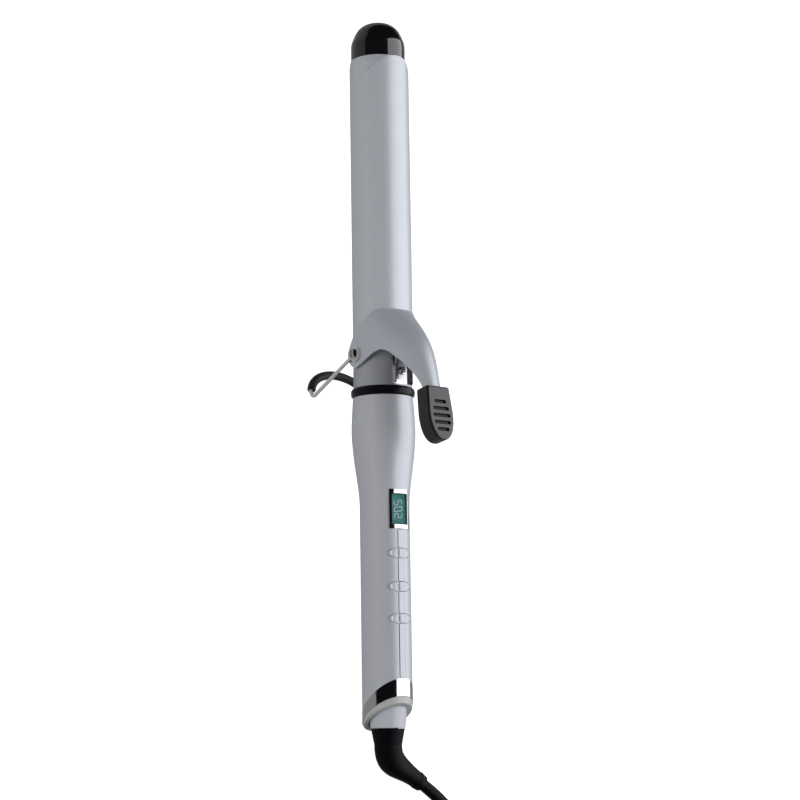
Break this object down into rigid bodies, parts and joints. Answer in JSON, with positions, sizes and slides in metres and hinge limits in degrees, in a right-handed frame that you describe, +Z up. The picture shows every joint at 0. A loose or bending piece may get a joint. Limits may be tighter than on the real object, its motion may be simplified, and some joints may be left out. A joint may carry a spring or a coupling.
{
  "type": "curling iron",
  "caption": "Curling iron with a sprung hair clamp and thumb lever, a fold-down wire stand, a control handle with display and keys, and a coiled cord on a swivel.",
  "frame": {"origin": "on the table, under the middle of the iron's box, measured without the cord", "axes": "+X towards the barrel's tip, +Z up, the clamp lever on the upper side; the iron leans on its stand and its handle end"},
  "size_m": [0.61, 0.0855, 0.0914],
  "materials": {
    "barrel_paint": "satin pearl-silver heat-proof paint",
    "lever_paint": "satin silver paint",
    "cap_black": "glossy black",
    "grip_black": "fine satin black",
    "ring_black": "satin black",
    "handle_pearl": "satin pearl silver",
    "end_cap_grey": "satin light grey",
    "nub_white": "satin white",
    "chrome": "bright chrome",
    "stand_wire_steel": "bright nickel",
    "sleeve_black": "ribbed black heat-proof sleeve",
    "spring_steel": "plain steel",
    "lens_clear": "clear",
    "lcd_green": "dark teal display",
    "aluminium": "extruded",
    "ceramic": "white ceramic",
    "mica": "mica board",
    "carrier_plastic": "heat-proof plastic",
    "board_green": "solder mask",
    "component_dark": "moulded epoxy",
    "fuse_glass": "clear glass",
    "fuse_metal": "plated",
    "lead_insulation": "glass-braid sleeve",
    "rotor_black": "satin black",
    "brass": "turned brass",
    "cord_rubber": "black flexible jacket",
    "tie_black": "black strap",
    "plug_metal": "nickel-plated brass"
  },
  "bodies": {
    "root": {"barrel_carrier": "carrier_plastic", "barrel_tube": "barrel_paint", "board_fuse": "fuse_glass", "bracket_rivet": "chrome", "chrome_band": "chrome", "clamp_spring": "spring_steel", "contact_brushes": "brass", "control_board": "board_green", "control_strip": "handle_pearl", "cord_coil": "cord_rubber", "cord_tail": "cord_rubber", "cord_tie": "tie_black", "display_bezel": "chrome", "display_lens": "lens_clear", "end_cap": "end_cap_grey", "handle_shell_left": "handle_pearl", "handle_shell_right": "handle_pearl", "heat_ring": "ring_black", "heater_clip": "spring_steel", "heater_leads": "lead_insulation", "heater_plate": "ceramic", "heater_shell_lower": "aluminium", "heater_shell_upper": "aluminium", "hinge_bracket": "chrome", "lcd_holder": "carrier_plastic", "lcd_panel": "lcd_green", "mains_terminal": "carrier_plastic", "pivot_screw_left": "chrome", "pivot_screw_right": "chrome", "plug_blades": "plug_metal", "plug_body": "cord_rubber", "power_cord": "cord_rubber", "sensor_leads": "lead_insulation", "shell_screws": "spring_steel", "strain_relief": "cord_rubber", "suppression_capacitor": "component_dark", "swivel_housing": "nub_white", "tact_switches": "carrier_plastic", "thermal_fuse": "fuse_metal", "thermistor": "fuse_glass", "tip_cap": "cap_black", "tip_insulator": "mica", "triac": "component_dark"},
    "clamp": {"clamp_blade": "barrel_paint", "clamp_lever": "lever_paint", "thumb_grip": "grip_black"},
    "stand": {"stand_wire": "stand_wire_steel", "stand_sleeve": "sleeve_black"},
    "swivel": {"swivel_rotor": "rotor_black", "contact_rings": "brass", "rotor_clip": "spring_steel"},
    "key_power": {"key_power": "handle_pearl"},
    "key_up": {"key_up": "handle_pearl"},
    "key_down": {"key_down": "handle_pearl"}
  },
  "joints": [
    {"name": "clamp_hinge", "type": "hinge", "parent": "root", "child": "clamp", "pos_m": [0.01013, 0, 0.04687], "axis": [0, -1, 0], "range_deg": [0, 22], "stiffness_Nm_per_rad": 1, "springref_deg": -20.05, "deforming": ["clamp_spring"]},
    {"name": "stand_hinge", "type": "hinge", "parent": "root", "child": "stand", "pos_m": [0.01013, 0, 0.04687], "axis": [0, 1, 0], "range_deg": [0, 54]},
    {"name": "cord_swivel", "type": "hinge", "parent": "root", "child": "swivel", "pos_m": [-0.18634, 0, 0.01342], "axis": [-0.9858, 0, -0.1678], "continuous": true},
    {"name": "press_power", "type": "slide", "parent": "root", "child": "key_power", "axis": [0.1678, 0, -0.9858], "range_m": [0, 0.0006], "stiffness_N_per_m": 250},
    {"name": "press_up", "type": "slide", "parent": "root", "child": "key_up", "axis": [0.1678, 0, -0.9858], "range_m": [0, 0.0006], "stiffness_N_per_m": 250},
    {"name": "press_down", "type": "slide", "parent": "root", "child": "key_down", "axis": [0.1678, 0, -0.9858], "range_m": [0, 0.0006], "stiffness_N_per_m": 250}
  ]
}
